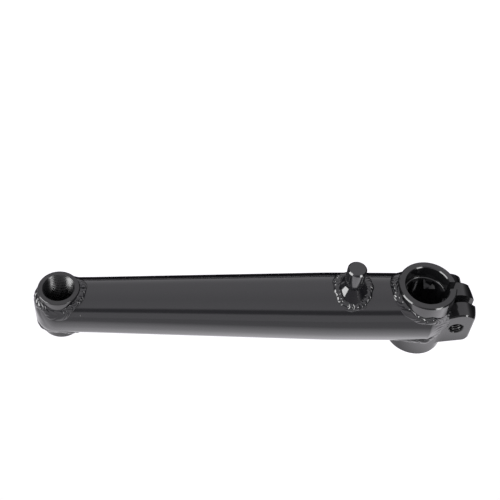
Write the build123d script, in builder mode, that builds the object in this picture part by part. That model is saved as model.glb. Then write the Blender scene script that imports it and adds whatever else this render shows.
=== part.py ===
"""Drive-side arm of a tubular three-piece bicycle crank, in millimetres.

The origin is on the spindle axis, at the outer end of the spindle boss. +Z runs along the spindle axis
towards the frame, so the arm lies on its outer face with the sprocket stud upwards. The pedal axis is
at x = -CRANK_LENGTH, and the clamp ears stand out towards +X.
"""

import os

from build123d import *

os.makedirs("parts", exist_ok=True)

# Spindle boss: turned barrel with a splined bore and a recess at each end
BARREL_R = 13.75
BARREL_EDGE = 0.5
SPLINE_COUNT = 8
SPLINE_MAJOR_R = 9.55
SPLINE_MINOR_R = 8.5
SPLINE_GROOVE_WIDTH = 3.9
SPACER_RECESS_R = 10.4
SPACER_RECESS_DEPTH = 7.7
SPACER_MOUTH_EDGE = 0.4
BOLT_RECESS_R = 11.5
BOLT_RECESS_DEPTH = 3.0

# Pedal boss: turned barrel, tapped 9/16 inch by 20 threads to the inch for the pedal axle
PEDAL_BOSS_R = 9.5
PEDAL_BORE_R = 6.6
PEDAL_MOUTH_EDGE = 0.75
PEDAL_RIM_EDGE = 0.35

# Arm tube, which passes both bosses on each side, and the cap that closes its pedal end
CRANK_LENGTH = 170.0
SPINDLE_SIDE_MARGIN = 2.25
PEDAL_SIDE_MARGIN = 3.3
TUBE_WALL = 1.6
TUBE_OPEN_END_X = 2.0
TAPER_START_INBOARD = 44.0
TAPER_END_INBOARD = 10.0
TAPER_BLEND_R = 500.0
NOSE_CENTRE_INBOARD = 2.2
NOSE_OVERHANG = 1.2
NOSE_FILLET_SHARE = 0.68

# How far the bosses stand out of the tube's crest
BARREL_PROUD_OUTER = 4.5
BARREL_PROUD_INNER = 1.5
PEDAL_BOSS_PROUD = 0.45

# Clamp ears on the spindle boss, with heights above and below the tube's axis, and the slot between them
EAR_FACE_Y = 10.0
EAR_REACH = 12.0
EAR_APEX_REACH = 5.65
EAR_APEX_ABOVE = 8.0
EAR_TIP_ABOVE = 3.2
EAR_ROOT_ABOVE = 0.3
EAR_TIP_BELOW = 13.1
EAR_ROOT_BELOW = 18.1
EAR_APEX_R = 8.0
EAR_TIP_R = 1.0
EAR_FOOT_R = 3.0
EAR_EDGE = 0.6
EAR_NECK_R = 8.0
SLOT_WIDTH = 4.0

# M8 pinch bolt across the ears: clear in the far ear, tapped into the near one
PINCH_REACH = 2.75
PINCH_DROP = 3.6
BOLT_R = 4.0
BOLT_CORE_R = 3.35
THREAD_CLEARANCE = 0.02
SHANK_CLEARANCE = 0.25
BOLT_LENGTH = 16.0
BOLT_END_EDGE = 0.6
HEAD_R = 6.5
HEAD_HEIGHT = 8.0
HEAD_EDGE = 0.5
HEX_ACROSS_FLATS = 6.0
HEX_DEPTH = 4.0
EAR_HOLE_EDGE = 0.4

# Sprocket stud on the frame side of the tube, with heights from the tube's crest
STUD_INBOARD = 35.0
STUD_R = 4.5
STUD_HEIGHT = 13.8
STUD_NECK_HEIGHT = 2.8
STUD_FOOT_R = 8.5
STUD_FOOT_DROP = 1.9
STUD_TOP_EDGE = 0.7

# Vent holes from the two bores into the tube, and the weld beads
VENT_R = 2.4
SPINDLE_WELD_LEG = 2.4
SPINDLE_WELD_RISE = 1.3
SPINDLE_WELD_LOW = 5.0
PEDAL_WELD_LEG = 2.2
PEDAL_WELD_RISE = 1.2
PEDAL_WELD_LOW = 4.5
PEDAL_WELD_INSET = 0.3
STUD_WELD_LEG = 1.6
STUD_WELD_RISE = 0.9
END_WELD_REACH = 9.5
END_WELD_TOE = 0.3
END_WELD_R = 40.0
CAP_WELD_INBOARD = 4.0
CAP_WELD_WIDTH = 2.4

# Sizes and places that follow from those above
TUBE_BIG_R = BARREL_R + SPINDLE_SIDE_MARGIN
TUBE_SMALL_R = PEDAL_BOSS_R + PEDAL_SIDE_MARGIN
NOSE_FILLET_R = NOSE_FILLET_SHARE * TUBE_SMALL_R
TUBE_AXIS_Z = BARREL_PROUD_OUTER + TUBE_BIG_R
CREST_Z = TUBE_AXIS_Z + TUBE_BIG_R
BARREL_HEIGHT = CREST_Z + BARREL_PROUD_INNER
PEDAL_X = -CRANK_LENGTH
PEDAL_BOSS_HEIGHT = 2 * (TUBE_SMALL_R + PEDAL_BOSS_PROUD)
TAPER_START_X = -TAPER_START_INBOARD
TAPER_END_X = PEDAL_X + TAPER_END_INBOARD
SPLINE_TOP_Z = BARREL_HEIGHT - SPACER_RECESS_DEPTH
SPLINE_LENGTH = SPLINE_TOP_Z - BOLT_RECESS_DEPTH
EAR_END_R = BARREL_R + EAR_REACH
EAR_APEX_X = BARREL_R + EAR_APEX_REACH
PINCH_X = BARREL_R + PINCH_REACH
PINCH_Z = TUBE_AXIS_Z - PINCH_DROP
BOLT_END_Y = EAR_FACE_Y - BOLT_LENGTH
STUD_X = -STUD_INBOARD
STUD_TOP_Z = CREST_Z + STUD_HEIGHT
STUD_NECK_Z = CREST_Z + STUD_NECK_HEIGHT
STUD_FOOT_Z = CREST_Z - STUD_FOOT_DROP
CAP_WELD_LEFT_X = PEDAL_X + CAP_WELD_INBOARD - CAP_WELD_WIDTH / 2
CAP_WELD_RIGHT_X = CAP_WELD_LEFT_X + CAP_WELD_WIDTH
FAR = 2 * CRANK_LENGTH

# Planes and axes that several pieces share
TUBE_AXIS = Axis((0, 0, TUBE_AXIS_Z), (1, 0, 0))
TUBE_SECTION = Plane((0, 0, TUBE_AXIS_Z), x_dir=(1, 0, 0), z_dir=(0, -1, 0))
MID_LEVEL = Plane.XY.offset(TUBE_AXIS_Z)
PEDAL_LEVEL = Plane((PEDAL_X, 0, TUBE_AXIS_Z))
STUD_SECTION = Plane((STUD_X, 0, 0), x_dir=(1, 0, 0), z_dir=(0, -1, 0))
HEAD_SEAT = Plane((PINCH_X, EAR_FACE_Y, PINCH_Z), x_dir=(1, 0, 0), z_dir=(0, 1, 0))
BOLT_END = Plane((PINCH_X, BOLT_END_Y, PINCH_Z), x_dir=(1, 0, 0), z_dir=(0, -1, 0))
SLOT_WALL = Plane((PINCH_X, 0, PINCH_Z), x_dir=(1, 0, 0), z_dir=(0, -1, 0))
INTO_TUBE = Plane((0, 0, TUBE_AXIS_Z), x_dir=(0, 1, 0), z_dir=(-1, 0, 0))
OUT_OF_PEDAL_BOSS = Plane((PEDAL_X, 0, TUBE_AXIS_Z), x_dir=(0, 1, 0), z_dir=(1, 0, 0))


def nose_plan(grow):
    """Plan of the pedal end: a half round, set in from the pedal axis so that it hugs the boss."""
    with BuildSketch(Plane.XY) as plan:
        with Locations((PEDAL_X + NOSE_CENTRE_INBOARD, 0)):
            Circle(TUBE_SMALL_R + NOSE_OVERHANG + grow)
            Rectangle(FAR, FAR, align=(Align.MIN, Align.CENTER))
    return plan.sketch


def arm_envelope(grow):
    """The outside of the tapered tube with its rounded pedal end, moved outwards by grow."""
    big = TUBE_BIG_R + grow
    small = TUBE_SMALL_R + grow
    blunt_end_x = PEDAL_X - 2 * small
    with BuildPart() as envelope:
        with BuildSketch(TUBE_SECTION):
            with BuildLine():
                FilletPolyline(
                    (blunt_end_x, small),
                    (TAPER_END_X, small),
                    (TAPER_START_X, big),
                    (TUBE_OPEN_END_X, big),
                    radius=TAPER_BLEND_R,
                )
                Polyline(
                    (TUBE_OPEN_END_X, big),
                    (TUBE_OPEN_END_X, 0),
                    (blunt_end_x, 0),
                    (blunt_end_x, small),
                )
            make_face()
        revolve(axis=TUBE_AXIS)
        with BuildSketch(MID_LEVEL):
            add(nose_plan(grow))
        extrude(amount=2 * big, both=True, mode=Mode.INTERSECT)
        crease = envelope.edges().group_by(Axis.X)[0]
        fillet(crease, NOSE_FILLET_R + grow)
    return envelope.part


def ear_side_view():
    """The ears from the side: domed on top, their lower edge running down towards the barrel."""
    with BuildSketch(Plane.XY) as view:
        with BuildLine():
            Polyline(
                (0, EAR_ROOT_ABOVE),
                (EAR_APEX_X, EAR_APEX_ABOVE),
                (EAR_END_R, EAR_TIP_ABOVE),
                (EAR_END_R, -EAR_TIP_BELOW),
                (0, -EAR_ROOT_BELOW),
                close=True,
            )
        make_face()
        fillet(view.vertices().sort_by(Axis.Y)[-1], EAR_APEX_R)
    return view.sketch


def ear_plan():
    """The barrel and both ears from above, blended by the necks."""
    with BuildSketch(Plane.XY) as plan:
        Circle(BARREL_R)
        Rectangle(EAR_END_R, 2 * EAR_FACE_Y, align=(Align.MIN, Align.CENTER))
        fillet(plan.vertices().sort_by(Axis.X)[0:-2], EAR_NECK_R)
    return plan.sketch


OUTSIDE = arm_envelope(0)
HOLLOW = arm_envelope(-TUBE_WALL)
WALL = OUTSIDE - HOLLOW

# The tube is cut square at both ends and bored across for the two bosses
with BuildPart() as arm_tube:
    add(WALL)
    split(bisect_by=Plane.YZ.offset(CAP_WELD_RIGHT_X), keep=Keep.TOP)
    with BuildSketch(MID_LEVEL):
        Circle(BARREL_R)
        with Locations((PEDAL_X, 0)):
            Circle(PEDAL_BOSS_R)
    extrude(amount=2 * TUBE_BIG_R, both=True, mode=Mode.SUBTRACT)
arm_tube.part.label = "arm_tube"
export_step(arm_tube.part, "parts/arm_tube.step")

# The pressed cap wraps the pedal boss and closes the tube
with BuildPart() as tube_end_cap:
    add(WALL)
    split(bisect_by=Plane.YZ.offset(CAP_WELD_LEFT_X), keep=Keep.BOTTOM)
    with BuildSketch(PEDAL_LEVEL):
        Circle(PEDAL_BOSS_R)
    extrude(amount=2 * TUBE_SMALL_R, both=True, mode=Mode.SUBTRACT)
tube_end_cap.part.label = "tube_end_cap"
export_step(tube_end_cap.part, "parts/tube_end_cap.step")

# The butt weld between tube and cap is ground flush, one arc on each side of the pedal boss
with BuildPart() as cap_weld:
    add(WALL)
    split(bisect_by=Plane.YZ.offset(CAP_WELD_LEFT_X), keep=Keep.TOP)
    split(bisect_by=Plane.YZ.offset(CAP_WELD_RIGHT_X), keep=Keep.BOTTOM)
    with BuildSketch(PEDAL_LEVEL):
        Circle(PEDAL_BOSS_R)
    extrude(amount=2 * TUBE_SMALL_R, both=True, mode=Mode.SUBTRACT)
cap_weld.part.label = "cap_weld"
export_step(cap_weld.part, "parts/cap_weld.step")

# Both ears before they are slit: a block with its end turned about the spindle axis
with BuildPart() as ears:
    with BuildSketch(TUBE_SECTION):
        add(ear_side_view())
    extrude(amount=EAR_FACE_Y, both=True)
    with BuildSketch(Plane.XY):
        Circle(EAR_END_R)
    extrude(amount=BARREL_HEIGHT, mode=Mode.INTERSECT)
    for height_order, edge_r in ((0, EAR_FOOT_R), (-1, EAR_TIP_R)):
        turned_end = ears.faces().filter_by(GeomType.CYLINDER).sort_by(Axis.X)[-1]
        fillet(turned_end.edges().sort_by(Axis.Z)[height_order], edge_r)
    for side in (0, -1):
        ear_face = ears.faces().filter_by(Axis.Y).sort_by(Axis.Y)[side]
        chamfer(ear_face.edges().sort_by(Axis.X)[1:], EAR_EDGE)

# The necks that blend the ears into the barrel, a little less tall than the ears
with BuildPart() as necks:
    extrude(ear_plan(), amount=BARREL_HEIGHT)
    split(bisect_by=Plane.YZ.offset(PINCH_X), keep=Keep.BOTTOM)
    with BuildSketch(TUBE_SECTION):
        add(ear_side_view())
        offset(amount=-2 * EAR_EDGE, mode=Mode.REPLACE)
    extrude(amount=BARREL_R, both=True, mode=Mode.INTERSECT)

# One machined forging: the barrel and the two clamp ears, slit through on the +X side
with BuildPart() as spindle_boss:
    with BuildSketch(Plane.XY):
        Circle(BARREL_R)
    extrude(amount=BARREL_HEIGHT)
    chamfer(spindle_boss.edges().filter_by(GeomType.CIRCLE), BARREL_EDGE)
    add(necks.part)
    add(ears.part)
    # Splines for the spindle, one groove of which faces the slot
    with BuildSketch(Plane.XY.offset(BOLT_RECESS_DEPTH)):
        with PolarLocations(SPLINE_MINOR_R, SPLINE_COUNT):
            Rectangle(2 * (SPLINE_MAJOR_R - SPLINE_MINOR_R) + SLOT_WIDTH, SPLINE_GROOVE_WIDTH)
        Circle(SPLINE_MAJOR_R, mode=Mode.INTERSECT)
        Circle(SPLINE_MINOR_R)
    extrude(amount=SPLINE_LENGTH, mode=Mode.SUBTRACT)
    # Recesses for the spacer at the frame side and for the spindle bolt's washer at the outer side
    with BuildSketch(Plane.XY.offset(SPLINE_TOP_Z)):
        Circle(SPACER_RECESS_R)
    extrude(amount=SPACER_RECESS_DEPTH, mode=Mode.SUBTRACT)
    spacer_mouth = spindle_boss.edges().filter_by(GeomType.CIRCLE).filter_by(
        lambda edge: abs(edge.radius - SPACER_RECESS_R) < SPACER_MOUTH_EDGE / 2)
    chamfer(spacer_mouth.sort_by(Axis.Z)[-1], SPACER_MOUTH_EDGE)
    with BuildSketch(Plane.XY):
        Circle(BOLT_RECESS_R)
    extrude(amount=BOLT_RECESS_DEPTH, mode=Mode.SUBTRACT)
    # Pinch slot, the spot face for the bolt's head, and the bolt hole: clear, then threaded as far as
    # the bolt goes, then the free thread
    with BuildSketch(Plane.XY):
        Rectangle(2 * EAR_END_R, SLOT_WIDTH, align=(Align.MIN, Align.CENTER))
    extrude(amount=BARREL_HEIGHT, mode=Mode.SUBTRACT)
    with BuildSketch(HEAD_SEAT):
        Circle(HEAD_R + SHANK_CLEARANCE)
    extrude(amount=HEAD_HEIGHT, mode=Mode.SUBTRACT)
    with BuildSketch(HEAD_SEAT):
        Circle(BOLT_R + SHANK_CLEARANCE)
    extrude(amount=-EAR_FACE_Y, mode=Mode.SUBTRACT)
    with BuildSketch(SLOT_WALL):
        Circle(BOLT_R + THREAD_CLEARANCE)
    extrude(amount=-BOLT_END_Y, mode=Mode.SUBTRACT)
    with BuildSketch(BOLT_END):
        Circle(BOLT_CORE_R)
    extrude(amount=EAR_FACE_Y + BOLT_END_Y, mode=Mode.SUBTRACT)
    free_mouth = spindle_boss.edges().filter_by(GeomType.CIRCLE).filter_by(
        lambda edge: abs(edge.radius - BOLT_CORE_R) < THREAD_CLEARANCE)
    chamfer(free_mouth.sort_by(Axis.Y)[0], EAR_HOLE_EDGE)
    # Vent from the splined bore into the tube
    with BuildSketch(INTO_TUBE):
        Circle(VENT_R)
    extrude(amount=BARREL_R, mode=Mode.SUBTRACT)
spindle_boss.part.label = "spindle_boss"
export_step(spindle_boss.part, "parts/spindle_boss.step")

# Socket cap screw with its head on the far ear
with BuildPart() as pinch_bolt:
    with BuildSketch(HEAD_SEAT):
        Circle(HEAD_R)
    extrude(amount=HEAD_HEIGHT)
    chamfer(pinch_bolt.edges().filter_by(GeomType.CIRCLE).sort_by(Axis.Y)[-1], HEAD_EDGE)
    with BuildSketch(HEAD_SEAT.offset(HEAD_HEIGHT)):
        RegularPolygon(HEX_ACROSS_FLATS / 2, 6, major_radius=False)
    extrude(amount=-HEX_DEPTH, mode=Mode.SUBTRACT)
    with BuildSketch(HEAD_SEAT):
        Circle(BOLT_R)
    extrude(amount=-BOLT_LENGTH)
    chamfer(pinch_bolt.edges().filter_by(GeomType.CIRCLE).sort_by(Axis.Y)[0], BOLT_END_EDGE)
pinch_bolt.part.label = "pinch_bolt"
export_step(pinch_bolt.part, "parts/pinch_bolt.step")

# Turned pedal boss with its tapped bore at the thread's core size
with BuildPart() as pedal_boss:
    with BuildSketch(PEDAL_LEVEL):
        Circle(PEDAL_BOSS_R)
    extrude(amount=PEDAL_BOSS_HEIGHT / 2, both=True)
    chamfer(pedal_boss.edges().filter_by(GeomType.CIRCLE), PEDAL_RIM_EDGE)
    with BuildSketch(PEDAL_LEVEL):
        Circle(PEDAL_BORE_R)
    extrude(amount=PEDAL_BOSS_HEIGHT, both=True, mode=Mode.SUBTRACT)
    bore_mouths = pedal_boss.edges().filter_by(GeomType.CIRCLE).filter_by(
        lambda edge: abs(edge.radius - PEDAL_BORE_R) < PEDAL_RIM_EDGE)
    chamfer(bore_mouths, PEDAL_MOUTH_EDGE)
    with BuildSketch(OUT_OF_PEDAL_BOSS):
        Circle(VENT_R)
    extrude(amount=PEDAL_BOSS_R, mode=Mode.SUBTRACT)
pedal_boss.part.label = "pedal_boss"
export_step(pedal_boss.part, "parts/pedal_boss.step")

# Turned stud that drives the sprocket, its conical foot cut to sit on the tube
with BuildPart() as sprocket_stud:
    with BuildSketch(STUD_SECTION):
        with BuildLine():
            Polyline(
                (0, TUBE_AXIS_Z),
                (STUD_FOOT_R, TUBE_AXIS_Z),
                (STUD_FOOT_R, STUD_FOOT_Z),
                (STUD_R, STUD_NECK_Z),
                (STUD_R, STUD_TOP_Z - STUD_TOP_EDGE),
                (STUD_R - STUD_TOP_EDGE, STUD_TOP_Z),
                (0, STUD_TOP_Z),
                close=True,
            )
        make_face()
    revolve(axis=Axis((STUD_X, 0, 0), (0, 0, 1)))
    add(OUTSIDE, mode=Mode.SUBTRACT)
sprocket_stud.part.label = "sprocket_stud"
export_step(sprocket_stud.part, "parts/sprocket_stud.step")

# The bead around the stud's foot
with BuildPart() as stud_weld:
    with BuildSketch(Plane((STUD_X, 0, TUBE_AXIS_Z))):
        Circle(STUD_FOOT_R + STUD_WELD_LEG)
    extrude(amount=2 * TUBE_BIG_R)
    add(arm_envelope(STUD_WELD_RISE), mode=Mode.INTERSECT)
    add(OUTSIDE, mode=Mode.SUBTRACT)
    add(sprocket_stud.part, mode=Mode.SUBTRACT)
stud_weld.part.label = "stud_weld"
export_step(stud_weld.part, "parts/stud_weld.step")

# The beads around the spindle boss, open towards the ears where the tube ends
SPINDLE_BEAD_TOP = arm_envelope(SPINDLE_WELD_RISE)
with BuildPart() as spindle_weld_inner:
    with BuildSketch(MID_LEVEL.offset(SPINDLE_WELD_LOW)):
        Circle(BARREL_R + SPINDLE_WELD_LEG)
        Circle(BARREL_R, mode=Mode.SUBTRACT)
    extrude(amount=BARREL_HEIGHT - BARREL_EDGE - TUBE_AXIS_Z - SPINDLE_WELD_LOW)
    add(SPINDLE_BEAD_TOP, mode=Mode.INTERSECT)
    add(OUTSIDE, mode=Mode.SUBTRACT)
spindle_weld_inner.part.label = "spindle_weld_inner"
export_step(spindle_weld_inner.part, "parts/spindle_weld_inner.step")

with BuildPart() as spindle_weld_outer:
    with BuildSketch(MID_LEVEL.offset(-SPINDLE_WELD_LOW)):
        Circle(BARREL_R + SPINDLE_WELD_LEG)
        Circle(BARREL_R, mode=Mode.SUBTRACT)
    extrude(amount=-(TUBE_AXIS_Z - BARREL_EDGE - SPINDLE_WELD_LOW))
    add(SPINDLE_BEAD_TOP, mode=Mode.INTERSECT)
    add(OUTSIDE, mode=Mode.SUBTRACT)
spindle_weld_outer.part.label = "spindle_weld_outer"
export_step(spindle_weld_outer.part, "parts/spindle_weld_outer.step")

# The weld that closes the tube's open end against the necks of the ears, one bead on each side
with BuildPart() as tube_end_weld:
    with BuildSketch(TUBE_SECTION):
        with BuildLine():
            RadiusArc(
                (TUBE_OPEN_END_X, TUBE_BIG_R - END_WELD_TOE),
                (TUBE_OPEN_END_X + END_WELD_REACH, EAR_FACE_Y),
                END_WELD_R,
            )
            Polyline(
                (TUBE_OPEN_END_X + END_WELD_REACH, EAR_FACE_Y),
                (TUBE_OPEN_END_X + END_WELD_REACH, 0),
                (TUBE_OPEN_END_X, 0),
                (TUBE_OPEN_END_X, TUBE_BIG_R - END_WELD_TOE),
            )
        make_face()
    revolve(axis=TUBE_AXIS)
    extrude(ear_plan(), amount=BARREL_HEIGHT, mode=Mode.SUBTRACT)
    with BuildSketch(HEAD_SEAT):
        Circle(HEAD_R + SHANK_CLEARANCE)
    extrude(amount=HEAD_HEIGHT, mode=Mode.SUBTRACT)
tube_end_weld.part.label = "tube_end_weld"
export_step(tube_end_weld.part, "parts/tube_end_weld.step")

# The beads around the pedal boss, which stay inside the cap's outline in plan
PEDAL_BEAD_TOP = arm_envelope(PEDAL_WELD_RISE)
with BuildPart() as pedal_weld_inner:
    with BuildSketch(MID_LEVEL.offset(PEDAL_WELD_LOW)):
        with Locations((PEDAL_X, 0)):
            Circle(PEDAL_BOSS_R + PEDAL_WELD_LEG)
            Circle(PEDAL_BOSS_R, mode=Mode.SUBTRACT)
        add(nose_plan(-PEDAL_WELD_INSET), mode=Mode.INTERSECT)
    extrude(amount=PEDAL_BOSS_HEIGHT / 2 - PEDAL_RIM_EDGE - PEDAL_WELD_LOW)
    add(PEDAL_BEAD_TOP, mode=Mode.INTERSECT)
    add(OUTSIDE, mode=Mode.SUBTRACT)
pedal_weld_inner.part.label = "pedal_weld_inner"
export_step(pedal_weld_inner.part, "parts/pedal_weld_inner.step")

with BuildPart() as pedal_weld_outer:
    with BuildSketch(MID_LEVEL.offset(-PEDAL_WELD_LOW)):
        with Locations((PEDAL_X, 0)):
            Circle(PEDAL_BOSS_R + PEDAL_WELD_LEG)
            Circle(PEDAL_BOSS_R, mode=Mode.SUBTRACT)
        add(nose_plan(-PEDAL_WELD_INSET), mode=Mode.INTERSECT)
    extrude(amount=-(PEDAL_BOSS_HEIGHT / 2 - PEDAL_RIM_EDGE - PEDAL_WELD_LOW))
    add(PEDAL_BEAD_TOP, mode=Mode.INTERSECT)
    add(OUTSIDE, mode=Mode.SUBTRACT)
pedal_weld_outer.part.label = "pedal_weld_outer"
export_step(pedal_weld_outer.part, "parts/pedal_weld_outer.step")
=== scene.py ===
import math

import bmesh
import bpy
import numpy as np
from mathutils import Matrix, Vector


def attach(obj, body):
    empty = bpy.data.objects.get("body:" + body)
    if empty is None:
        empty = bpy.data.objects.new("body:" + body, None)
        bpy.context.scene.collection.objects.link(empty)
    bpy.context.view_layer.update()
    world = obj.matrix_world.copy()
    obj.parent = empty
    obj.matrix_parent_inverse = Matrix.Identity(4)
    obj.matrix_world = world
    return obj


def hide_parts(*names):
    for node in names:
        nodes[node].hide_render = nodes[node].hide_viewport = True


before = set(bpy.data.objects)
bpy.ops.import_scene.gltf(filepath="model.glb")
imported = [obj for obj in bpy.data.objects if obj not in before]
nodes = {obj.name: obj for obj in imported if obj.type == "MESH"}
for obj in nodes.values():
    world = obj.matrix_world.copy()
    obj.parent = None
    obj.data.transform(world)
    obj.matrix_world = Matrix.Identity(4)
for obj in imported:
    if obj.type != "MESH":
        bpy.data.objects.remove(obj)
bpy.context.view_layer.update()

MM = 0.001
DUST_SPACING = 9.0
DUST_R = 0.18
# A paint's roughness varies with its peel between these shares of its own value
GLOSS_SPREAD = (0.8, 1.25)


def linear(hex_colour):
    """Linear RGBA of an sRGB hex colour: the low end is a straight line, the rest a power of 2.4."""
    value = np.array([int(hex_colour[i:i + 2], 16) for i in (1, 3, 5)]) / 255
    curve = np.where(value <= 0.04045, value / 12.92, ((value + 0.055) / 1.055) ** 2.4)
    return (*curve.tolist(), 1.0)


def add_node(tree, kind, links=(), **settings):
    """Adds one node, sets its properties and input values, and links (output, input name) pairs into it."""
    node = tree.nodes.new(kind)
    for name, value in settings.items():
        if name in node.inputs:
            node.inputs[name].default_value = value
        else:
            setattr(node, name, value)
    for output, name in links:
        tree.links.new(output, node.inputs[name])
    return node


def stoved_paint(name, colour, roughness, ior, peel_mm, peel_depth_mm, wave_mm, wave_depth_mm):
    """Gloss black stoving paint: a dark base under a clear shine, with two sizes of waviness.

    The fine one is the orange peel of the paint itself, the broad one the slight hollows of the steel
    below it; together they make the lines that the gloss mirrors waver. Pale dust specks lie on it.
    """
    paint = bpy.data.materials.new(name)
    paint.use_nodes = True
    tree = paint.node_tree
    shader = tree.nodes["Principled BSDF"]
    shader.inputs["IOR"].default_value = ior
    place = add_node(tree, "ShaderNodeTexCoord")
    peel = add_node(tree, "ShaderNodeTexNoise", [(place.outputs["Object"], "Vector")],
                    Scale=1 / (peel_mm * MM), Detail=2.0)
    wave = add_node(tree, "ShaderNodeTexNoise", [(place.outputs["Object"], "Vector")],
                    Scale=1 / (wave_mm * MM), Detail=1.0)
    broad = add_node(tree, "ShaderNodeBump", [(wave.outputs["Fac"], "Height")], Distance=wave_depth_mm * MM)
    fine = add_node(tree, "ShaderNodeBump", [(peel.outputs["Fac"], "Height"), (broad.outputs[0], "Normal")],
                    Distance=peel_depth_mm * MM)
    tree.links.new(fine.outputs[0], shader.inputs["Normal"])
    # Dust: a speck wherever the surface passes through the middle of a cell
    cells = add_node(tree, "ShaderNodeTexVoronoi", [(place.outputs["Object"], "Vector")],
                     Scale=1 / (DUST_SPACING * MM))
    near = add_node(tree, "ShaderNodeMath", [(cells.outputs["Distance"], 0)], operation="LESS_THAN")
    near.inputs[1].default_value = DUST_R / DUST_SPACING
    dust = add_node(tree, "ShaderNodeMix", [(near.outputs[0], "Factor")], data_type="RGBA")
    dust.inputs["A"].default_value = linear(colour)
    dust.inputs["B"].default_value = linear("#6a6868")
    tree.links.new(dust.outputs["Result"], shader.inputs["Base Color"])
    gloss = add_node(tree, "ShaderNodeMapRange", [(peel.outputs["Fac"], "Value")])
    gloss.inputs["To Min"].default_value = roughness * GLOSS_SPREAD[0]
    gloss.inputs["To Max"].default_value = roughness * GLOSS_SPREAD[1]
    tree.links.new(gloss.outputs[0], shader.inputs["Roughness"])
    return paint


tube_paint = stoved_paint("gloss_black_stoving_paint_on_tube", "#0f0f11", roughness=0.1, ior=1.5,
                          peel_mm=1.4, peel_depth_mm=0.004, wave_mm=22, wave_depth_mm=0.09)
for name in ("arm_tube", "tube_end_cap", "cap_weld"):
    nodes[name].data.materials.clear()
    nodes[name].data.materials.append(tube_paint)

# The spindle boss: one forging, machined all over, with its splined bore, clamp ears and pinch slot.
# The same paint covers it thinly, so the turned faces keep a finer, flatter shine than the tube.
boss_paint = stoved_paint("gloss_black_stoving_paint_on_machined_steel", "#0f0f10", roughness=0.12,
                          ior=1.46, peel_mm=0.9, peel_depth_mm=0.003, wave_mm=14, wave_depth_mm=0.02)
nodes["spindle_boss"].data.materials.clear()
nodes["spindle_boss"].data.materials.append(boss_paint)

# The free thread in the near ear, past the end of the bolt: a helical ridge cut by the tap, of which only
# the crests are modelled, standing in from the wall of the hole. Little paint reaches it, so it is duller.
thread_paint = stoved_paint("thin_stoving_paint_in_tapped_holes", "#0d0d0e", roughness=0.24, ior=1.46,
                            peel_mm=0.9, peel_depth_mm=0.003, wave_mm=14, wave_depth_mm=0.02)
PINCH_X = 16.5
PINCH_Z = 16.9
EAR_CORE_R = 3.35
EAR_THREAD_PITCH = 1.25
EAR_THREAD_DEPTH = 0.32
EAR_THREAD_FROM = -9.65
EAR_THREAD_TO = -6.1
# A piece laid on a wall misses the wall's own face by SKIN, so that the two don't coincide, and is rooted
# in the wall by SUNK
SKIN = 0.01
SUNK = 0.2
SHARP_ANGLE = math.radians(38)


def quad_grid(rows, columns, close_rows, close_columns):
    """Corner numbers of every cell of a grid of points, row by row, with either way joined into a ring."""
    i = np.arange(rows if close_rows else rows - 1)[:, None]
    j = np.arange(columns if close_columns else columns - 1)[None, :]
    after_i = (i + 1) % rows
    after_j = (j + 1) % columns
    corners = [i * columns + j, i * columns + after_j, after_i * columns + after_j, after_i * columns + j]
    return np.stack([c + 0 * (i + j) for c in corners], axis=-1).reshape(-1, 4).tolist()


def add_piece(name, points, faces, material, slot, *replaced):
    """Makes one closed piece from points in millimetres, faces outwards, and fits it to the frame."""
    mesh = bpy.data.meshes.new(name)
    mesh.from_pydata((np.asarray(points).reshape(-1, 3) * MM).tolist(), [], faces)
    work = bmesh.new()
    work.from_mesh(mesh)
    bmesh.ops.recalc_face_normals(work, faces=work.faces)
    work.to_mesh(mesh)
    work.free()
    mesh.shade_smooth()
    mesh.set_sharp_from_angle(angle=SHARP_ANGLE)
    mesh.materials.append(material)
    piece = bpy.data.objects.new(name, mesh)
    bpy.context.scene.collection.objects.link(piece)
    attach(piece, "root")
    if replaced:
        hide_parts(*replaced)
    return piece


def thread_wave(turns):
    """Height of a vee thread, 0 in the root to 1 on the crest, with small flats, against turns of pitch."""
    vee = np.abs(2 * (turns % 1) - 1)
    return np.clip((vee - 0.1) / 0.8, 0, 1)


angle = np.linspace(0, 2 * np.pi, 96, endpoint=False)[None, :]
along = np.linspace(EAR_THREAD_FROM, EAR_THREAD_TO, 60)[:, None]
ridge = thread_wave(along / EAR_THREAD_PITCH - angle / (2 * np.pi))
run_out = np.clip((along - EAR_THREAD_FROM) / EAR_THREAD_PITCH, 0, 1)
inner_r = EAR_CORE_R - SKIN - EAR_THREAD_DEPTH * ridge * run_out
outer_r = np.full((1, angle.size), EAR_CORE_R + SUNK)
radius = np.concatenate([outer_r, inner_r, outer_r])
depth = np.concatenate([along[:1], along, along[-1:]]) + 0 * angle
turned = angle + 0 * radius
thread = np.stack([PINCH_X + radius * np.cos(turned), depth, PINCH_Z + radius * np.sin(turned)], axis=-1)
faces = quad_grid(len(radius), angle.size, True, True)
add_piece("ear_free_thread", thread, faces, thread_paint, "boss_paint")

# Paint that pooled in the corner of the spindle bore's shoulder when the arm was hung up to drain: a thin
# hollow fillet round the recess, open at the slot.
SHOULDER_Z = 30.3
RECESS_R = 10.4
POOL_LEG = 0.7
POOL_FROM = math.radians(13)
angle = np.linspace(POOL_FROM, 2 * np.pi - POOL_FROM, 240)[:, None]
bend = np.linspace(0, np.pi / 2, 8)[None, :]
pool_r = RECESS_R + SKIN - POOL_LEG * (1 - np.cos(bend))
pool_z = SHOULDER_Z + SKIN + POOL_LEG * (1 - np.sin(bend))
pool_r = np.concatenate([pool_r, [[RECESS_R + SUNK]]], axis=1)
pool_z = np.concatenate([pool_z, [[SHOULDER_Z - SUNK]]], axis=1)
pool = np.stack([pool_r * np.cos(angle), pool_r * np.sin(angle), pool_z + 0 * angle], axis=-1)
columns = pool.shape[1]
faces = quad_grid(angle.size, columns, False, True)
faces += [list(range(columns)), list(range((angle.size - 1) * columns, angle.size * columns))]
add_piece("shoulder_paint_pool", pool, faces, boss_paint, "boss_paint")

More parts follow.
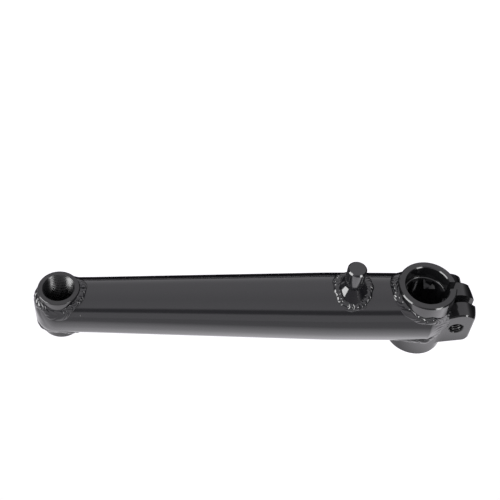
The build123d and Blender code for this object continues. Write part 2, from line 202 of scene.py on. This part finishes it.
# The pinch bolt: an M8 socket cap screw in blackened alloy steel, rolled thread, broached hexagon.
# A blue threadlocker patch has been brushed under the thread that shows in the slot.
BOLT_R = 4.0
BOLT_THREAD_DEPTH = 0.6
BOLT_THREAD_ROOM = 0.03
BOLT_THREAD_RUN_OUT = 0.1
BOLT_END_ROOM = 0.05
BOLT_END_Y = -6.0
BOLT_END_EDGE = 0.6
HEAD_SEAT_Y = 10.0
HEAD_TOP_Y = 18.0
HEAD_R = 6.5
HEAD_EDGE = 0.5
HEX_HALF = 3.0
HEX_DEPTH = 4.0
HEX_DRILL_POINT = 0.6
POLE_R = 0.001
PATCH_TOP_Z = 15.6
PATCH_EDGE = 0.2
PATCH_HALF_WIDTH = 2.4
SMEAR_SIZE = 1.6
SMEAR_REACH = 2.4

bolt_steel = bpy.data.materials.new("blackened_alloy_steel_with_threadlocker")
bolt_steel.use_nodes = True
tree = bolt_steel.node_tree
shader = tree.nodes["Principled BSDF"]
shader.inputs["Roughness"].default_value = 0.34
place = add_node(tree, "ShaderNodeTexCoord")
parts = add_node(tree, "ShaderNodeSeparateXYZ", [(place.outputs["Object"], "Vector")])
smear = add_node(tree, "ShaderNodeTexNoise", [(place.outputs["Object"], "Vector")],
                 Scale=1 / (SMEAR_SIZE * MM), Detail=3.0)
edge = add_node(tree, "ShaderNodeMath", [(smear.outputs["Fac"], 0), (parts.outputs["Z"], 2)],
                operation="MULTIPLY_ADD")
edge.inputs[1].default_value = SMEAR_REACH * MM
below = add_node(tree, "ShaderNodeMapRange", [(edge.outputs[0], "Value")])
below.inputs["From Min"].default_value = (PATCH_TOP_Z + PATCH_EDGE) * MM
below.inputs["From Max"].default_value = (PATCH_TOP_Z - PATCH_EDGE) * MM
in_slot = add_node(tree, "ShaderNodeMath", [(parts.outputs["Y"], 0)], operation="COMPARE")
in_slot.inputs[1].default_value = 0.0
in_slot.inputs[2].default_value = PATCH_HALF_WIDTH * MM
patch = add_node(tree, "ShaderNodeMath", [(below.outputs[0], 0), (in_slot.outputs[0], 1)],
                 operation="MULTIPLY")
tint = add_node(tree, "ShaderNodeMix", [(patch.outputs[0], "Factor")], data_type="RGBA")
tint.inputs["A"].default_value = linear("#1b1b1d")
tint.inputs["B"].default_value = linear("#1f8fdc")
tree.links.new(tint.outputs["Result"], shader.inputs["Base Color"])
bare = add_node(tree, "ShaderNodeMath", [(patch.outputs[0], 1)], operation="SUBTRACT")
bare.inputs[0].default_value = 1.0
tree.links.new(bare.outputs[0], shader.inputs["Metallic"])

angle = np.linspace(0, 2 * np.pi, 96, endpoint=False)[None, :]
hex_r = HEX_HALF / np.cos((angle + np.pi / 6) % (np.pi / 3) - np.pi / 6)
thread_y = np.linspace(BOLT_END_Y + BOLT_END_EDGE, HEAD_SEAT_Y - BOLT_THREAD_RUN_OUT, 90)[:, None]
crest = thread_wave(thread_y / EAR_THREAD_PITCH - angle / (2 * np.pi))
thread_r = BOLT_R - BOLT_THREAD_ROOM - BOLT_THREAD_DEPTH * (1 - crest)


def ring(radius):
    """One row of the turned form: the same radius all round."""
    return np.full((1, angle.size), radius)


radius = np.concatenate([
    ring(POLE_R), ring(BOLT_R - BOLT_END_EDGE - BOLT_END_ROOM), thread_r,
    ring(BOLT_R), ring(HEAD_R), ring(HEAD_R), ring(HEAD_R - HEAD_EDGE), hex_r, hex_r, ring(POLE_R)])
depth = np.concatenate([
    [BOLT_END_Y, BOLT_END_Y], thread_y[:, 0],
    [HEAD_SEAT_Y, HEAD_SEAT_Y, HEAD_TOP_Y - HEAD_EDGE, HEAD_TOP_Y, HEAD_TOP_Y, HEAD_TOP_Y - HEX_DEPTH,
     HEAD_TOP_Y - HEX_DEPTH - HEX_DRILL_POINT]])[:, None] + 0 * angle
turned = angle + 0 * radius
bolt = np.stack([PINCH_X + radius * np.cos(turned), depth, PINCH_Z + radius * np.sin(turned)], axis=-1)
faces = quad_grid(len(radius), angle.size, False, True)
last = len(radius) * angle.size
faces += [list(range(angle.size)), list(range(last - angle.size, last))]
add_piece("pinch_bolt_screw", bolt, faces, bolt_steel, "bolt_steel", "pinch_bolt")

# The pedal boss: turned from bar, tapped right through with the 9/16 inch by 20 pedal thread.
# It is set across the tube's end and welded round, with a vent drilled in its bore. Its rims are rounded.
PEDAL_X = -170.0
TUBE_AXIS_Z = 20.5
PEDAL_BOSS_R = 9.5
PEDAL_HALF_HEIGHT = 13.25
PEDAL_RIM_R = 0.45
PEDAL_CORE_R = 6.6
PEDAL_MOUTH_EDGE = 0.75
PEDAL_PITCH = 1.27
PEDAL_THREAD_DEPTH = 0.54
VENT_R = 2.4
VENT_FLOOR = 0.3

angle = np.linspace(0, 2 * np.pi, 192, endpoint=False)[None, :]
round_over = np.linspace(0, np.pi / 2, 6)
rim_r = PEDAL_BOSS_R - PEDAL_RIM_R + PEDAL_RIM_R * np.sin(round_over)
rim_z = PEDAL_HALF_HEIGHT - PEDAL_RIM_R + PEDAL_RIM_R * np.cos(round_over)
bore_z = np.linspace(-PEDAL_HALF_HEIGHT, PEDAL_HALF_HEIGHT, 190)[:, None]
groove = thread_wave(bore_z / PEDAL_PITCH - angle / (2 * np.pi))
mouth = PEDAL_CORE_R + PEDAL_MOUTH_EDGE - (PEDAL_HALF_HEIGHT - np.abs(bore_z))
bore_r = np.maximum(PEDAL_CORE_R + PEDAL_THREAD_DEPTH * groove, mouth)
vent = (np.hypot(PEDAL_CORE_R * np.sin(angle), bore_z) < VENT_R) & (np.cos(angle) > 0)
bore_r = np.where(vent, PEDAL_BOSS_R - VENT_FLOOR, bore_r)
outside_r = np.concatenate([rim_r, rim_r[::-1]])[:, None] + 0 * angle
outside_z = np.concatenate([rim_z, -rim_z[::-1]])[:, None] + 0 * angle
radius = np.concatenate([outside_r, bore_r])
height = np.concatenate([outside_z, bore_z + 0 * angle]) + TUBE_AXIS_Z
turned = angle + 0 * radius
boss = np.stack([PEDAL_X + radius * np.cos(turned), radius * np.sin(turned), height], axis=-1)
faces = quad_grid(len(radius), angle.size, True, True)
tapped = add_piece("pedal_boss_tapped", boss, faces, boss_paint, "boss_paint", "pedal_boss")
# The bore's rows of cells come after the outside's
tapped.data.materials.append(thread_paint)
cell_row = np.arange(len(tapped.data.polygons)) // angle.size
tapped.data.polygons.foreach_set("material_index", (cell_row >= len(outside_r)).astype(np.int32))

# The sprocket stud: turned steel pin with a conical foot, which takes the drive hole of the sprocket.
# It is welded on before the arm is painted, so it has the tube's own paint.
nodes["sprocket_stud"].data.materials.clear()
nodes["sprocket_stud"].data.materials.append(tube_paint)

# The weld beads: steel laid by hand with a torch and filler rod, a row of overlapping puddles.
# Each puddle froze as a curved ripple, and the paint lies thick and glossy over them.
weld_paint = stoved_paint("gloss_black_stoving_paint_on_weld", "#0f0f11", roughness=0.08, ior=1.5,
                          peel_mm=0.8, peel_depth_mm=0.004, wave_mm=5, wave_depth_mm=0.05)
TUBE_BIG_R = 16.0
TUBE_SMALL_R = 12.8
TAPER_START_X = -44.0
TAPER_END_X = -160.0
FLARE_FROM_X = 1.8
FLARE_TO_X = 12.4
FLARE_TO_R = 9.9
ACROSS = 26
BURY = 0.7


def unit(vectors):
    """Each vector divided by its own length."""
    return vectors / np.linalg.norm(vectors, axis=-1, keepdims=True)


def tube_radius(x, end_x=FLARE_TO_X, end_r=FLARE_TO_R):
    """The tube's outer radius at x: straight, then tapering, then straight.

    Past the tube's open end it is the flared weld's, which falls to end_r at end_x, gently at first and
    then evenly.
    """
    share = np.clip((TAPER_START_X - x) / (TAPER_START_X - TAPER_END_X), 0, 1)
    fall = np.clip((x - FLARE_FROM_X) / (end_x - FLARE_FROM_X), 0, 1)
    flare = (TUBE_BIG_R - end_r) * fall ** 1.25 * (1.25 - 0.25 * fall)
    return TUBE_BIG_R + (TUBE_SMALL_R - TUBE_BIG_R) * share - flare


def on_tube(x, arc, side):
    """Points on the tube from x and the arc length round it from its crest, on the upper or lower side."""
    r = tube_radius(x)
    return np.stack([x, r * np.sin(arc / r), TUBE_AXIS_Z + side * r * np.cos(arc / r)], axis=-1)


def scallops(turns):
    """Ripples against puddle count, each the top of an ellipse: 1 in its middle, 0.17 in the creases."""
    across = 2 * (turns % 1) - 1
    return np.sqrt(1 - 0.97 * across ** 2)


def bead_skin(wall, toe, root, crown, pitch, ripple, bow, strength):
    """A bead laid in a corner: at each step of its path a bowed curve from the wall to the toe.

    The curve is a straight chord, lifted out of the corner, square to the chord, by the crown, which swells
    and sinks a little along the run. Puddle ripples, about one per pitch and never quite evenly spaced,
    raise it by their own height times the strength there. They are bowed forwards in the middle of the bead
    and fade to nothing at both edges. One more point per step, buried in the corner, closes the section.
    """
    middle = (wall + toe) / 2
    chord = unit(toe - wall)
    corner = middle - root
    out = unit(corner - np.sum(corner * chord, axis=-1, keepdims=True) * chord)
    step = np.linalg.norm(np.diff(middle, axis=0, prepend=middle[:1]), axis=-1)
    run = np.cumsum(step)
    uneven = 0.22 * np.sin(run * 0.55) + 0.13 * np.sin(run * 1.31 + 2)
    v = np.linspace(0, 1, ACROSS)[None, :]
    turns = (run / pitch + uneven)[:, None] - bow * (1 - (2 * v - 1) ** 2)
    fade = np.sin(np.pi * v) ** 0.6
    lump = 1 + 0.25 * np.sin(run * 0.9 + 1)[:, None] * np.sin(np.pi * v)
    lift = fade * (ripple * strength[:, None] * scallops(turns) + crown[:, None] * lump)
    skin = wall[:, None] * (1 - v[..., None]) + toe[:, None] * v[..., None] + out[:, None] * lift[..., None]
    return np.concatenate([skin, (root - out * BURY)[:, None]], axis=1)


def bead_faces(steps, closed):
    """Cells of a bead, joined round its section, and either joined end to end or capped at both ends."""
    columns = ACROSS + 1
    faces = quad_grid(steps, columns, closed, True)
    if not closed:
        faces += [list(range(columns)), list(range((steps - 1) * columns, steps * columns))]
    return faces


# Spindle boss beads, frame side and outer side: wide where the tube meets the boss end on, narrow on its
# flanks, and open towards the ears. Their ripples are boldest at the inboard end and on the flanks.
BARREL_R = 13.75
BARREL_TOP_Z = 37.4
BARREL_FOOT_Z = 0.6
SPINDLE_BEAD_FROM = math.radians(50)
# Reach along the tube by the ears, and how much further inboard
SPINDLE_TOE_LEG = 1.8
SPINDLE_TOE_INBOARD = 1.9
# Reach up the boss inboard, and how much further by the ears
SPINDLE_WALL_LEG = 1.1
SPINDLE_WALL_BY_EARS = 2.2
turn_angle = np.linspace(SPINDLE_BEAD_FROM, 2 * np.pi - SPINDLE_BEAD_FROM, 560)
inboard = (0.5 - 0.5 * np.cos(turn_angle)) ** 2
x = BARREL_R * np.cos(turn_angle)
y = BARREL_R * np.sin(turn_angle)
arc = tube_radius(x) * np.arcsin(y / tube_radius(x))
# Outwards and square to the root, along the tube's surface unrolled flat
normal = unit(np.stack([x / np.sqrt(1 - (y / TUBE_BIG_R) ** 2), y], axis=-1))
# The toe wanders in and out by a few tenths of a millimetre, as a hand-laid bead does
toe_leg = SPINDLE_TOE_LEG + SPINDLE_TOE_INBOARD * inboard
toe_leg += 0.25 * np.sin(5 * turn_angle + 1) + 0.15 * np.sin(13 * turn_angle)
strength = 0.15 + 0.85 * np.cos(1.9 * (turn_angle - np.pi)) ** 2
for name, node, side in (("spindle_bead_frame_side", "spindle_weld_inner", 1),
                         ("spindle_bead_outer_side", "spindle_weld_outer", -1)):
    root = on_tube(x, arc, side)
    toe = on_tube(x + toe_leg * normal[:, 0], arc + toe_leg * normal[:, 1], side)
    free = np.abs((BARREL_TOP_Z if side > 0 else BARREL_FOOT_Z) - root[:, 2])
    wall_leg = np.minimum(SPINDLE_WALL_LEG + SPINDLE_WALL_BY_EARS * (1 - inboard) ** 3, free)
    wall = root + np.array([0, 0, side]) * wall_leg[:, None]
    skin = bead_skin(wall, toe, root, crown=0.2 + 0.3 * inboard, pitch=3.1, ripple=0.8, bow=0.9,
                     strength=strength)
    add_piece(name, skin, bead_faces(turn_angle.size, False), weld_paint, "weld_paint", node)

# The stud's bead: short heaped puddles right round the stud's conical foot, widest where they run down the
# tube's front side.
STUD_X = -35.0
STUD_R = 4.5
STUD_NECK_Z = 39.3
STUD_CONE_SLOPE = 1.175
STUD_FOOT_R = 8.5
# Reach along the tube and up the cone, and how much wider and lower the bead is in front
STUD_TOE_LEG = 2.6
STUD_WALL_LEG = 0.9
STUD_FRONT = 0.5
turn_angle = np.linspace(0, 2 * np.pi, 520, endpoint=False)
away = np.stack([np.cos(turn_angle), np.sin(turn_angle)], axis=-1)
# The cone meets the tube where both have one height, which repeated substitution finds
root_r = np.full(turn_angle.size, STUD_FOOT_R)
for _ in range(12):
    tube_z = TUBE_AXIS_Z + np.sqrt(TUBE_BIG_R ** 2 - (root_r * away[:, 1]) ** 2)
    root_r = np.minimum(STUD_R + (STUD_NECK_Z - tube_z) / STUD_CONE_SLOPE, STUD_FOOT_R)
x = root_r * away[:, 0]
y = root_r * away[:, 1]
arc = TUBE_BIG_R * np.arcsin(y / TUBE_BIG_R)
normal = unit(np.stack([x / np.sqrt(1 - (y / TUBE_BIG_R) ** 2), y], axis=-1))
front = np.clip(-away[:, 1], 0, 1) ** 2
toe_leg = STUD_TOE_LEG + STUD_FRONT * front
toe_leg += 0.3 * np.sin(3 * turn_angle + 0.6) + 0.2 * np.sin(11 * turn_angle + 2)
wall_leg = STUD_WALL_LEG - STUD_FRONT * front
root = on_tube(STUD_X + x, arc, 1)
toe = on_tube(STUD_X + x + toe_leg * normal[:, 0], arc + toe_leg * normal[:, 1], 1)
wall = root + np.column_stack([-wall_leg[:, None] * away, STUD_CONE_SLOPE * wall_leg])
strength = 0.75 + 0.25 * np.sin(2 * turn_angle + 4)
skin = bead_skin(wall, toe, root, crown=0.35 + 0 * x, pitch=2.3, ripple=0.7, bow=0.4, strength=strength)
add_piece("stud_bead", skin, bead_faces(turn_angle.size, True), weld_paint, "weld_paint", "stud_weld")

# The pedal boss beads, frame side and outer side: less even, widest towards the tube, and kept inside the
# cap's outline at the nose.
NOSE_CENTRE_X = -167.8
NOSE_R = 14.0
NOSE_FILLET_R = 8.7
NOSE_INSET = 0.35
# Reach along the arm at the nose, and how much further towards the tube
PEDAL_TOE_LEG = 2.2
PEDAL_TOE_INBOARD = 0.9
PEDAL_TOE_SUNK = 0.1
PEDAL_WALL_LEG = 0.8


def arm_height(x, y):
    """Height of the arm's surface above the tube's axis: the tube's arc, less the round at the nose's edge.

    The round is a quarter circle on the distance from the nose's edge, and it counts fully end on.
    """
    tube = np.sqrt(np.maximum(tube_radius(x) ** 2 - y ** 2, 0))
    back = np.minimum(x - NOSE_CENTRE_X, 0)
    from_edge = NOSE_R - np.hypot(back, y)
    short = np.clip(NOSE_FILLET_R - from_edge, 0, NOSE_FILLET_R)
    end_on = (back / np.maximum(np.hypot(back, y), 1)) ** 2
    return tube - end_on * (NOSE_FILLET_R - np.sqrt(NOSE_FILLET_R ** 2 - short ** 2))


turn_angle = np.linspace(0, 2 * np.pi, 600, endpoint=False)
away = np.stack([np.cos(turn_angle), np.sin(turn_angle)], axis=-1)
centre_gap = PEDAL_X - NOSE_CENTRE_X
reach = -centre_gap * away[:, 0] + np.sqrt((NOSE_R - NOSE_INSET) ** 2 - (centre_gap * away[:, 1]) ** 2)
toe_leg = PEDAL_TOE_LEG + PEDAL_TOE_INBOARD * (0.5 + 0.5 * away[:, 0]) ** 2
toe_leg += 0.3 * np.sin(4 * turn_angle + 2) + 0.2 * np.sin(9 * turn_angle)
toe_leg = np.where(away[:, 0] < 0, np.minimum(toe_leg, reach - PEDAL_BOSS_R), toe_leg)
# The ripples come and go round the boss, and the run starts and stops towards the tube
strength = 0.25 + 0.75 * np.sin(1.6 * (turn_angle - 4.62)) ** 2
root_plan = PEDAL_BOSS_R * away + np.array([PEDAL_X, 0])
toe_plan = (PEDAL_BOSS_R + toe_leg)[:, None] * away + np.array([PEDAL_X, 0])
root_height = arm_height(root_plan[:, 0], root_plan[:, 1])
toe_height = arm_height(toe_plan[:, 0], toe_plan[:, 1]) - PEDAL_TOE_SUNK
wall_height = np.minimum(root_height + PEDAL_WALL_LEG, PEDAL_HALF_HEIGHT - PEDAL_RIM_R)
for name, node, side in (("pedal_bead_frame_side", "pedal_weld_inner", 1),
                         ("pedal_bead_outer_side", "pedal_weld_outer", -1)):
    root, toe, wall = (np.column_stack([plan, TUBE_AXIS_Z + side * height]) for plan, height in (
        (root_plan, root_height), (toe_plan, toe_height), (root_plan, wall_height)))
    skin = bead_skin(wall, toe, root, crown=0.25 + 0 * toe_leg, pitch=2.8, ripple=0.85, bow=0.8,
                     strength=strength)
    add_piece(name, skin, bead_faces(turn_angle.size, True), weld_paint, "weld_paint", node)

# The tube-end weld: one flared bead on each side closes the tube's open end against the neck of an ear.
# It starts as a smooth run of the tube and ends in ripples that slant over the neck.
END_BEAD_FROM_X = 0.6
# Side, and the place along the arm and the radius about the tube's axis where the bead ends
END_BEAD_TO = ((-1, FLARE_TO_X, FLARE_TO_R), (1, 9.6, 10.4))
END_BEAD_HALF_TURN = math.radians(44)
END_BEAD_PROUD = 0.09
END_BEAD_SUNK = 0.05
END_BEAD_PITCH = 2.6
END_BEAD_RIPPLE = 0.32
END_BEAD_BOW = 1.1
# Shares of the bead's length: where it has come clear of the tube, and where its ripples begin and are full
END_BEAD_CLEAR = 0.1
END_BEAD_SMOOTH = 0.25
END_BEAD_FULL = 0.55
# The ripples stand out from the tube's axis and lean along it by these shares of their height
END_BEAD_OUT = 0.85
END_BEAD_LEAN = 0.5
END_BEAD_BACK_R = 8.6
END_BEAD_BACK_FROM_X = 1.2
END_BEAD_BACK_SHORT = 0.6
ends = []
faces = []
around = np.linspace(-END_BEAD_HALF_TURN, END_BEAD_HALF_TURN, 260)[:, None]
v = np.linspace(0, 1, 40)[None, :]
start = np.clip(v / END_BEAD_CLEAR, 0, 1)
edge = start * np.sin(np.pi * v) ** 0.3
turns = TUBE_BIG_R * around / END_BEAD_PITCH - END_BEAD_BOW * np.sin(np.pi * v)
rise = np.clip((v - END_BEAD_SMOOTH) / (END_BEAD_FULL - END_BEAD_SMOOTH), 0, 1)
lift = END_BEAD_RIPPLE * rise * edge * scallops(turns)
columns = v.size + 2
for side, to_x, to_r in END_BEAD_TO:
    position = END_BEAD_FROM_X + (to_x - END_BEAD_FROM_X) * v
    radius = tube_radius(position, to_x, to_r) - END_BEAD_SUNK + END_BEAD_PROUD * start + END_BEAD_OUT * lift
    back = np.array([[to_x - END_BEAD_BACK_SHORT, END_BEAD_BACK_FROM_X]]) + 0 * around
    position = np.concatenate([position + END_BEAD_LEAN * lift, back], axis=1)
    radius = np.concatenate([radius, END_BEAD_BACK_R + 0 * back], axis=1)
    tilt = around + 0 * radius
    first = len(ends) * around.size * columns
    sideways = side * radius * np.cos(tilt)
    ends.append(np.stack([position, sideways, TUBE_AXIS_Z + radius * np.sin(tilt)], axis=-1))
    faces += (np.array(quad_grid(around.size, columns, False, True)) + first).tolist()
    faces += [list(range(first, first + columns)),
              list(range(first + (around.size - 1) * columns, first + around.size * columns))]
add_piece("tube_end_beads", np.concatenate(ends), faces, weld_paint, "weld_paint", "tube_end_weld")

# The studio: an opal light table under one wide overhead light, with a dark gap towards the front and
# a dark horizon behind, which draw the thin black lines along the glossy tube.
LIGHT_STRENGTH = 1.35
ROOM_STRENGTH = 0.1
STRIP_EDGE = (0.58, 0.84)
LIGHT_TINT = linear("#fcfaff")
# Angle about the arm's own direction, from the front horizon over the top to the back, and its brightness
SKY_BANDS = ((-20, 1.0), (21, 1.0), (26, 0.22), (37, 0.22), (43, 1.0), (75, 0.92), (115, 1.05), (150, 0.92),
             (172, 1.0), (175, 0.03))
world = bpy.data.worlds.new("studio_light")
bpy.context.scene.world = world
world.use_nodes = True
sky = world.node_tree
sky.nodes.clear()
direction = add_node(sky, "ShaderNodeTexCoord")
parts = add_node(sky, "ShaderNodeSeparateXYZ", [(direction.outputs["Generated"], "Vector")])
forward = add_node(sky, "ShaderNodeMath", [(parts.outputs["Y"], 0)], operation="MULTIPLY")
forward.inputs[1].default_value = -1
around_arm = add_node(sky, "ShaderNodeMath", [(parts.outputs["Z"], 0), (forward.outputs[0], 1)],
                      operation="ARCTAN2")
share = add_node(sky, "ShaderNodeMapRange", [(around_arm.outputs[0], "Value")])
share.inputs["From Min"].default_value = -math.pi
share.inputs["From Max"].default_value = math.pi
ramp = add_node(sky, "ShaderNodeValToRGB", [(share.outputs[0], "Fac")])
stops = ramp.color_ramp.elements
while len(stops) > 1:
    stops.remove(stops[-1])
for degrees, brightness in SKY_BANDS:
    stop = stops.new(0.5 + degrees / 360)
    stop.color = [brightness * channel for channel in LIGHT_TINT[:3]] + [1]
stops.remove(stops[0])
# The overhead light is a long strip over the arm, so the room is dark towards both of the arm's ends
off_strip = add_node(sky, "ShaderNodeMath", [(parts.outputs["X"], 0)], operation="ABSOLUTE")
strip = add_node(sky, "ShaderNodeMapRange", [(off_strip.outputs[0], "Value")],
                 interpolation_type="SMOOTHSTEP")
strip.inputs["From Min"].default_value = STRIP_EDGE[0]
strip.inputs["From Max"].default_value = STRIP_EDGE[1]
strip.inputs["To Min"].default_value = LIGHT_STRENGTH
strip.inputs["To Max"].default_value = ROOM_STRENGTH
glow = add_node(sky, "ShaderNodeBackground",
                [(ramp.outputs["Color"], "Color"), (strip.outputs[0], "Strength")])
add_node(sky, "ShaderNodeOutputWorld", [(glow.outputs[0], "Surface")])
bpy.context.scene.view_settings.view_transform = "Standard"

# The table glows all over, so nothing on it casts a hard shadow, and most in a band along the arm's front,
# which the tube's lower side mirrors. It lies in the plane that the arm rests on, against the outer faces
# of the spindle boss and the pedal boss.
FLOOR_REACH = 12.0
REST_X = -13.25
PEDAL_REST_X = -179.15
PEDAL_REST_Z = 7.25
REST_SLOPE = math.atan2(PEDAL_REST_Z, REST_X - PEDAL_REST_X)
TABLE_GLOW = 2.3
# Place across the arm, negative in front of it, and the share of the table's full glow there
TABLE_BANDS = ((-75, 0.46), (-35, 1.0), (-20, 1.0), (-12, 0.5))


def stage_sheet(name, corners, faces, material):
    """A flat stage object from its corners in metres."""
    mesh = bpy.data.meshes.new(name)
    mesh.from_pydata(corners, [], faces)
    mesh.materials.append(material)
    sheet = bpy.data.objects.new(name, mesh)
    bpy.context.scene.collection.objects.link(sheet)
    return sheet


def table_z(x):
    """Height of the table's plane at x, in metres."""
    return (REST_X * MM - x) * math.tan(REST_SLOPE)


table = bpy.data.materials.new("opal_light_table")
table.use_nodes = True
opal = table.node_tree
opal.nodes.clear()
place = add_node(opal, "ShaderNodeTexCoord")
along = add_node(opal, "ShaderNodeSeparateXYZ", [(place.outputs["Object"], "Vector")])
span = add_node(opal, "ShaderNodeMapRange", [(along.outputs["Y"], "Value")])
span.inputs["From Min"].default_value = TABLE_BANDS[0][0] * MM
span.inputs["From Max"].default_value = TABLE_BANDS[-1][0] * MM
bands = add_node(opal, "ShaderNodeValToRGB", [(span.outputs[0], "Fac")])
stops = bands.color_ramp.elements
while len(stops) > 1:
    stops.remove(stops[-1])
for front, share_of_glow in TABLE_BANDS:
    stop = stops.new((front - TABLE_BANDS[0][0]) / (TABLE_BANDS[-1][0] - TABLE_BANDS[0][0]))
    stop.color = [share_of_glow * channel for channel in LIGHT_TINT[:3]] + [1]
stops.remove(stops[0])
lit = add_node(opal, "ShaderNodeEmission", [(bands.outputs["Color"], "Color")], Strength=TABLE_GLOW)
add_node(opal, "ShaderNodeOutputMaterial", [(lit.outputs[0], "Surface")])
stage_sheet("floor", [(x, y, table_z(x)) for x, y in (
    (-FLOOR_REACH, -FLOOR_REACH), (FLOOR_REACH, -FLOOR_REACH), (FLOOR_REACH, FLOOR_REACH),
    (-FLOOR_REACH, FLOOR_REACH))], [(0, 1, 2, 3)], table)

# Black card, out of the lens's sight: one sheet behind the arm draws the dark line along its far edge.
# A grey disc lying on the table under each boss is painted shadow: it darkens the table where the boss would
# shade it, so the bores show only a little of the table's glow. Its own faint glow is painted light at the
# bottom of each bore.
CARD_NEAR_Y = 0.026
CARD_FAR_Y = 0.6
CARD_HALF_LENGTH = 0.6
CARD_LIFT = 0.012
DISC_LIFT = 0.0003
felt = bpy.data.materials.new("black_card")
felt.use_nodes = True
felt.node_tree.nodes["Principled BSDF"].inputs["Base Color"].default_value = linear("#080808")
felt.node_tree.nodes["Principled BSDF"].inputs["Specular IOR Level"].default_value = 0.0
card = stage_sheet("black_card", [(x, y, CARD_LIFT) for x, y in (
    (-CARD_HALF_LENGTH, CARD_NEAR_Y), (CARD_HALF_LENGTH, CARD_NEAR_Y), (CARD_HALF_LENGTH, CARD_FAR_Y),
    (-CARD_HALF_LENGTH, CARD_FAR_Y))], [(0, 1, 2, 3)], felt)
card.visible_camera = False
for name, centre_x, disc_r, disc_painted_glow in (
        ("spindle_painted_shadow_disc", 0.0, 13.4, 0.004),
        ("pedal_painted_shadow_disc", PEDAL_X * MM, 8.9, 0.06)):
    shade = bpy.data.materials.new(name + "_card")
    shade.use_nodes = True
    shader = shade.node_tree.nodes["Principled BSDF"]
    # Painted shadow and painted light: the grey stands in for the shaded table under the boss, and the faint
    # emission below stands in for the little light that reaches there, though the disc is no lamp.
    shader.inputs["Base Color"].default_value = linear("#4a4a4a")
    shader.inputs["Specular IOR Level"].default_value = 0.0
    shader.inputs["Emission Color"].default_value = LIGHT_TINT
    shader.inputs["Emission Strength"].default_value = disc_painted_glow
    round_angle = np.linspace(0, 2 * np.pi, 48, endpoint=False)
    disc_x = centre_x + disc_r * MM * np.cos(round_angle)
    disc_y = disc_r * MM * np.sin(round_angle)
    stage_sheet(name, np.column_stack([disc_x, disc_y, table_z(disc_x) + DISC_LIFT]).tolist(),
                [list(range(round_angle.size))], shade)

# Two soft boxes: a large one on the left and a smaller one on the right in front. The tube's own sides turn
# away from both, so they show only as the small bright lights on welds, cone and rims.
ARM_MIDDLE = Vector((-80, 0, 25)) * MM
for name, towards, away_m, side_m, radiance in (
        ("left_soft_box", (-0.86, -0.25, 0.42), 1.0, 0.7, 14.0),
        ("right_soft_box", (0.6, -0.6, 0.55), 1.0, 0.32, 14.0)):
    box = bpy.data.lights.new(name, "AREA")
    box.size = side_m
    box.energy = math.pi * side_m ** 2 * radiance
    lamp = bpy.data.objects.new(name, box)
    outwards = Vector(towards).normalized()
    facing = outwards.to_track_quat("Z", "Y").to_matrix().to_4x4()
    lamp.matrix_world = Matrix.Translation(ARM_MIDDLE + away_m * outwards) @ facing
    bpy.context.scene.collection.objects.link(lamp)

# The camera looks down on the arm from in front, a little rolled, as a long lens would from half a metre.
IMAGE_SIDE = 500
FOCAL_PIXELS = 1029.6
SENSOR_MM = 36.0
CAMERA_AT = Vector((-121.31, -275.57, 418.85)) * MM
CAMERA_LOOKS = Vector((0.08092, 0.61057, -0.78782)).normalized()
CAMERA_ROLL = math.radians(6.56)
lens = bpy.data.cameras.new("camera")
lens.sensor_width = SENSOR_MM
lens.lens = FOCAL_PIXELS / IMAGE_SIDE * SENSOR_MM
camera = bpy.data.objects.new("camera", lens)
level = CAMERA_LOOKS.cross(Vector((0, 0, 1))).normalized()
right = Matrix.Rotation(-CAMERA_ROLL, 3, CAMERA_LOOKS) @ level
up = right.cross(CAMERA_LOOKS)
turn = Matrix((right, up, -CAMERA_LOOKS)).transposed()
camera.matrix_world = Matrix.Translation(CAMERA_AT) @ turn.to_4x4()
bpy.context.scene.collection.objects.link(camera)
bpy.context.scene.camera = camera
